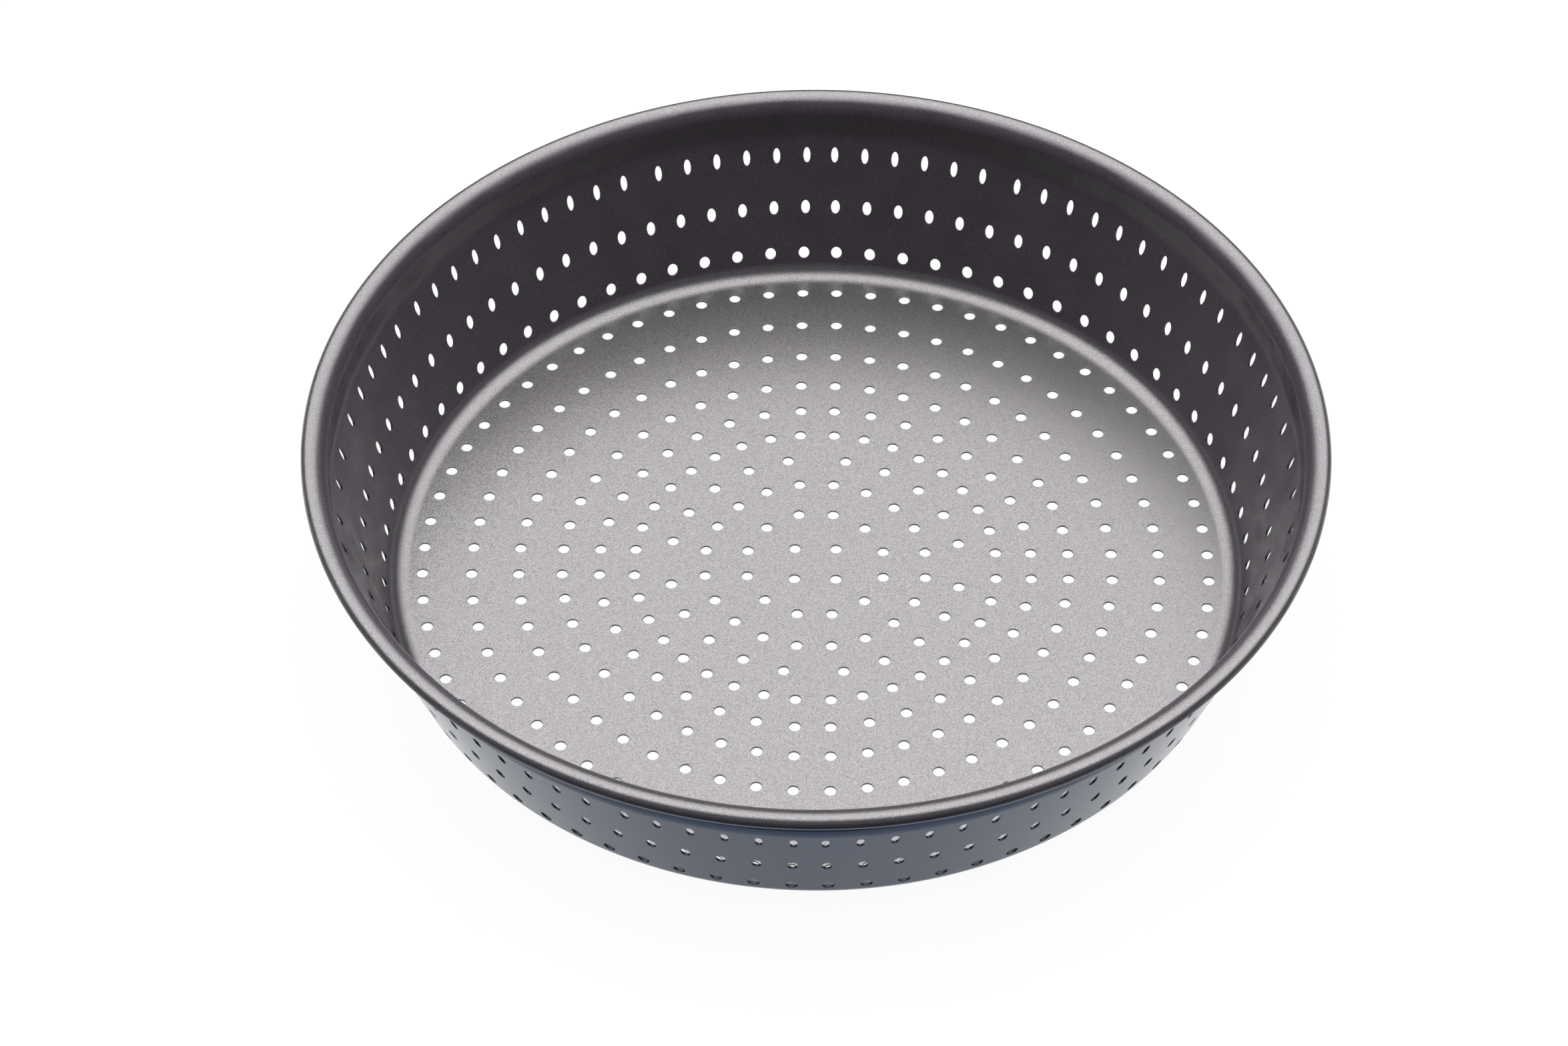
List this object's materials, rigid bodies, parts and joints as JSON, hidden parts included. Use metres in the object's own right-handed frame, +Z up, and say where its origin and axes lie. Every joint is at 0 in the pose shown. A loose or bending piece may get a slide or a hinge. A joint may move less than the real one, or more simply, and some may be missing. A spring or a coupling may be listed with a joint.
{
  "type": "perforated pie dish",
  "caption": "Round deep pie dish of thin coated steel with a flat base, leaning side wall, rolled rim and punched holes all over.",
  "frame": {"origin": "middle of the underside, on the face that the dish stands on", "axes": "+Z up out of the open mouth; +X and +Y are the two lines about which the punched pattern mirrors"},
  "size_m": [0.2394, 0.2394, 0.0475],
  "materials": {
    "coated_sheet": "grey metallic-flake non-stick coating inside, blue-grey gloss lacquer outside",
    "rim_wire": "drawn wire, bare"
  },
  "bodies": {
    "root": {"base_panel": "coated_sheet", "side_wall": "coated_sheet", "rim_wire": "rim_wire"}
  },
  "joints": []
}
